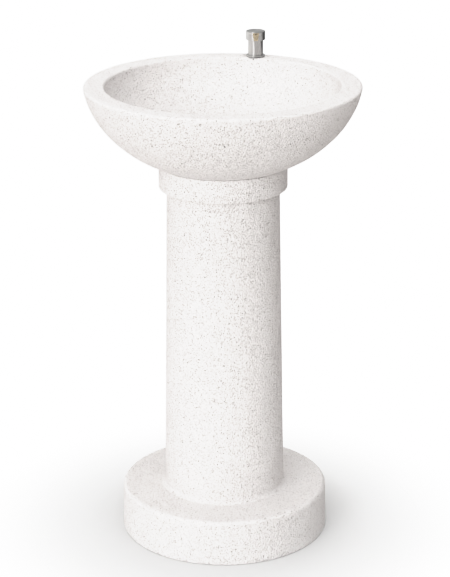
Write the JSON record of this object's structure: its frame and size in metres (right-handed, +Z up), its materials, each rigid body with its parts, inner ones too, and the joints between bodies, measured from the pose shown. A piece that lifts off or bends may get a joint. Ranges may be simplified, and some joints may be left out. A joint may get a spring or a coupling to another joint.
{
  "type": "drinking fountain",
  "caption": "Round stone bowl on a tapered column and plinth, with a push-button bubbler on the rim, a drain with bottle trap, and a supply pipe with stop valve.",
  "frame": {"origin": "centre of the plinth's underside, on the floor", "axes": "+Z up; -Y is the side the user stands at; the bubbler stands on the rim at +Y, above the service cover; +X is to the user's right"},
  "size_m": [0.6072, 0.6072, 1.1035],
  "materials": {
    "cast_stone": "sandblasted white cast stone with fine grey specks",
    "mortar": "trowelled white mortar",
    "steel_rod": "ribbed bar, dull",
    "galvanised": "galvanised, dull",
    "stainless": "brushed stainless steel",
    "rubber": "black, matt",
    "brass": "turned brass, satin",
    "white_pipe": "white polypropylene, satin",
    "copper": "copper tube, satin",
    "nickelled_brass": "nickel-plated brass, satin",
    "ptfe": "white, waxy",
    "chrome": "polished",
    "lever_enamel": "red enamel",
    "spring_steel": "drawn stainless wire"
  },
  "bodies": {
    "stand": {"base_plinth": "cast_stone", "column": "cast_stone", "collar": "cast_stone", "bowl": "cast_stone", "foot_mortar": "mortar", "bowl_mortar": "mortar", "foot_dowels": "steel_rod", "bowl_dowels": "steel_rod", "anchor_sockets": "galvanised", "access_cover": "stainless", "cover_gasket": "rubber", "cover_screws": "stainless", "cover_inserts": "brass", "drain_flange": "stainless", "drain_grid": "stainless", "drain_screw": "stainless", "drain_top_seal": "rubber", "drain_bottom_seal": "rubber", "drain_washer": "stainless", "drain_locknut": "brass", "tailpipe_washer": "rubber", "tailpipe": "white_pipe", "tailpipe_nut": "white_pipe", "trap_body": "white_pipe", "trap_inlet_seal": "rubber", "trap_inlet_nut": "white_pipe", "trap_cup": "white_pipe", "trap_cup_seal": "rubber", "trap_outlet_nut": "white_pipe", "waste_pipe": "white_pipe", "riser_pipe": "copper", "riser_nut": "brass", "valve_body": "nickelled_brass", "valve_end": "nickelled_brass", "valve_seats": "ptfe", "valve_packing_nut": "nickelled_brass", "supply_tube": "copper", "supply_nuts": "nickelled_brass", "cast_in_tube": "copper", "tap_socket": "brass", "tap_gasket": "rubber", "tap_flange": "stainless", "tap_body": "stainless", "tap_seat": "brass", "gland_nut": "brass", "spindle_seal": "rubber", "return_spring": "spring_steel"},
    "button": {"push_cap": "stainless", "jet_nozzle": "brass", "spindle": "brass", "plunger_washer": "rubber", "plunger_nut": "brass"},
    "valve_lever": {"valve_ball": "chrome", "valve_stem": "nickelled_brass", "valve_handle": "lever_enamel", "valve_handle_nut": "stainless"}
  },
  "joints": [
    {"name": "button_press", "type": "slide", "parent": "stand", "child": "button", "axis": [0, 0, -1], "range_m": [0, 0.006], "stiffness_N_per_m": 1500, "springref_m": -0.008, "deforming": ["return_spring"]},
    {"name": "stop_valve_turn", "type": "hinge", "parent": "stand", "child": "valve_lever", "pos_m": [0.04, 0.048, 0.465], "axis": [0, -1, 0], "range_deg": [0, 90]}
  ]
}
